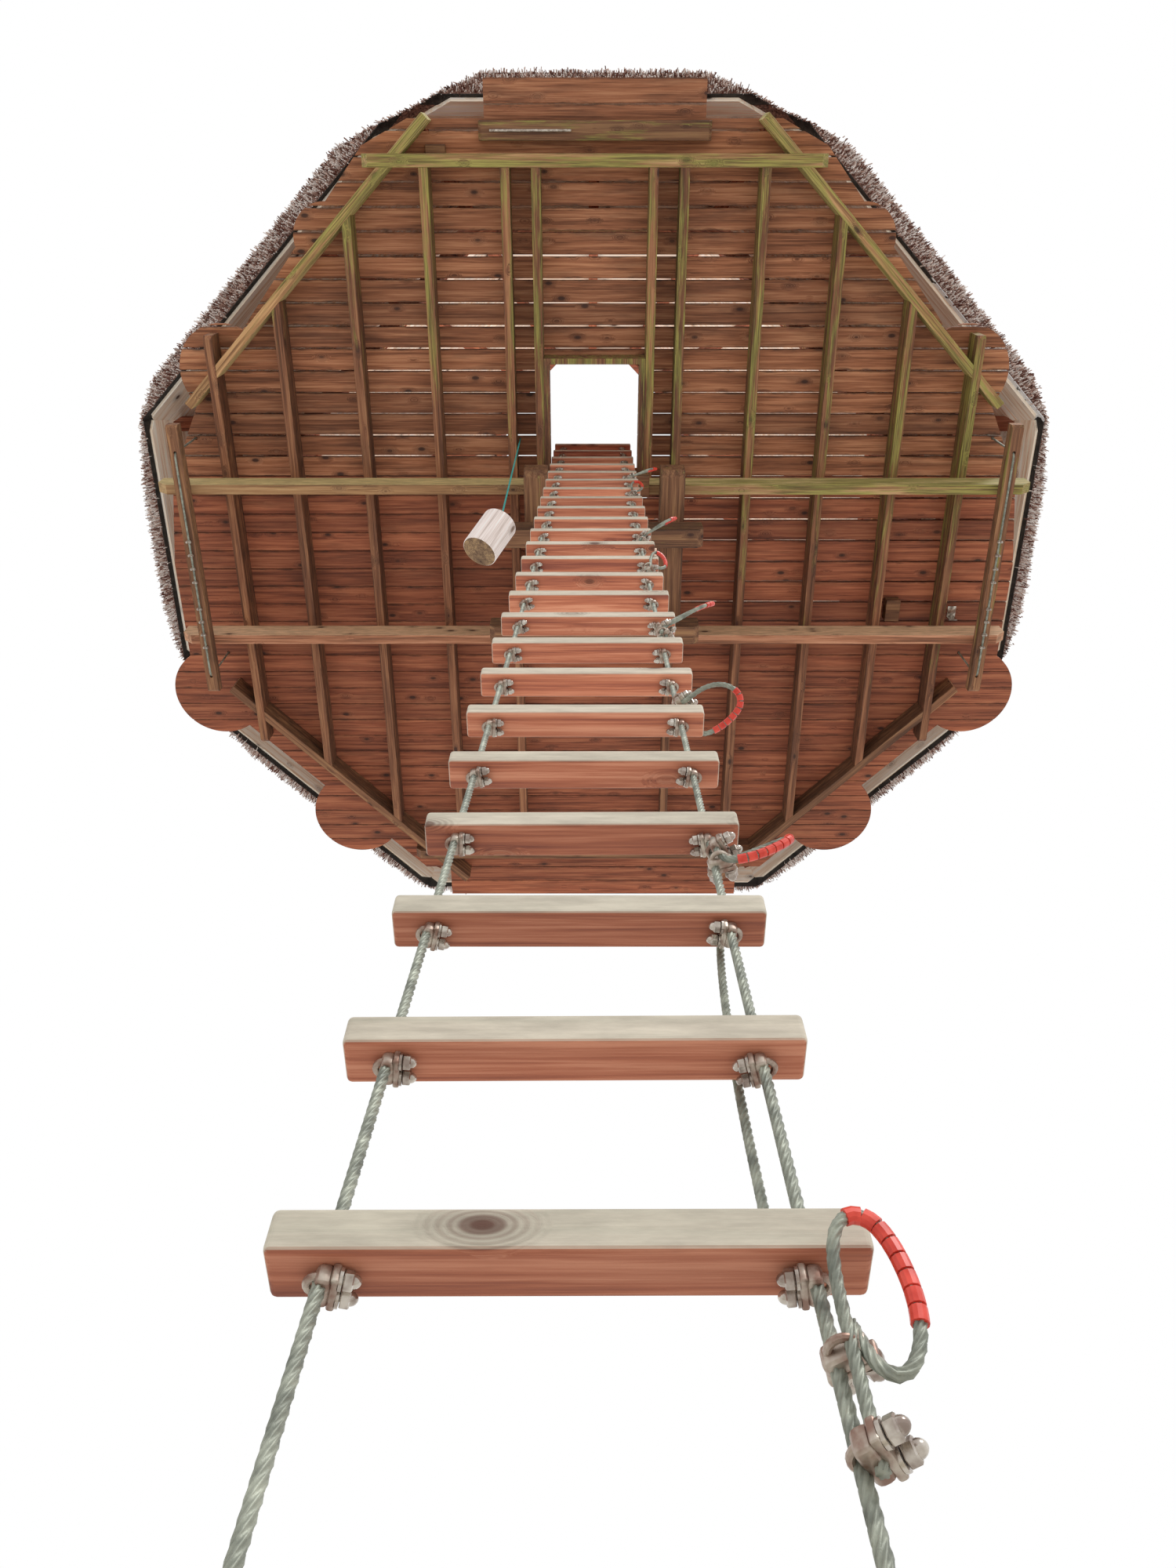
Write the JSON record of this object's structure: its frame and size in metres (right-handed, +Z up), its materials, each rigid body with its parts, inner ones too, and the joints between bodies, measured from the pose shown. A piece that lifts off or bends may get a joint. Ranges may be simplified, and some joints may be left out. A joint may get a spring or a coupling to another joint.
{
  "type": "tree house with thatched roof and rope ladder",
  "caption": "Octagonal timber tree house on a trunk collar: boarded deck and round room under a steep thatched roof, hung in wire ropes, with a long rope ladder to a hatch.",
  "frame": {"origin": "middle of the trunk-side face of the near clamp beam, which bears on the trunk", "axes": "+X right as seen from the ladder, +Y from the ladder towards the trunk and out of the clamp beam's face, +Z up"},
  "size_m": [5.6326, 5.2197, 11.4418],
  "materials": {
    "weathered_timber": "matte",
    "mossy_timber": "matte",
    "pale_timber": "matte",
    "deck_boards": "matte",
    "wall_boards": "matte",
    "frame_timber": "matte",
    "roof_boards": "matte",
    "thatch": "matte",
    "glass": "gloss",
    "wire_rope": "satin",
    "rope_wrap": "satin",
    "steel_clips": "satin",
    "rung_timber": "matte",
    "log_timber": "matte",
    "log_cord": "matte"
  },
  "bodies": {
    "root": {"clamp_beam_near": "weathered_timber", "clamp_beam_far": "weathered_timber", "collar_beams": "weathered_timber", "side_beam_left": "weathered_timber", "side_beam_right": "weathered_timber", "joists_left": "weathered_timber", "joists_right": "weathered_timber", "header_far": "weathered_timber", "nose_beam": "weathered_timber", "edge_beams_far": "weathered_timber", "hatch_lining": "weathered_timber", "ladder_rest": "weathered_timber", "girder_near": "mossy_timber", "header_near": "mossy_timber", "edge_beams_near": "mossy_timber", "girder_far": "pale_timber", "window_frames": "pale_timber", "deck_near": "deck_boards", "deck_middle": "deck_boards", "deck_far": "deck_boards", "wall_right": "wall_boards", "wall_far_right": "wall_boards", "wall_far": "wall_boards", "wall_far_left": "wall_boards", "wall_left": "wall_boards", "wall_near_left": "wall_boards", "wall_near": "wall_boards", "wall_near_right": "wall_boards", "corner_posts": "frame_timber", "ring_beam": "frame_timber", "rafters": "frame_timber", "rope_purlins": "frame_timber", "crown_kerb": "frame_timber", "roof_boards": "roof_boards", "thatch_right": "thatch", "thatch_far_right": "thatch", "thatch_far": "thatch", "thatch_far_left": "thatch", "thatch_left": "thatch", "thatch_near_left": "thatch", "thatch_near": "thatch", "thatch_near_right": "thatch", "window_glass": "glass", "side_rope_left": "wire_rope", "side_rope_right": "wire_rope", "ladder_rope": "wire_rope", "hand_loops": "rope_wrap", "rung_clips": "steel_clips", "rungs": "rung_timber", "hanging_log": "log_timber", "log_cord": "log_cord"}
  },
  "joints": []
}
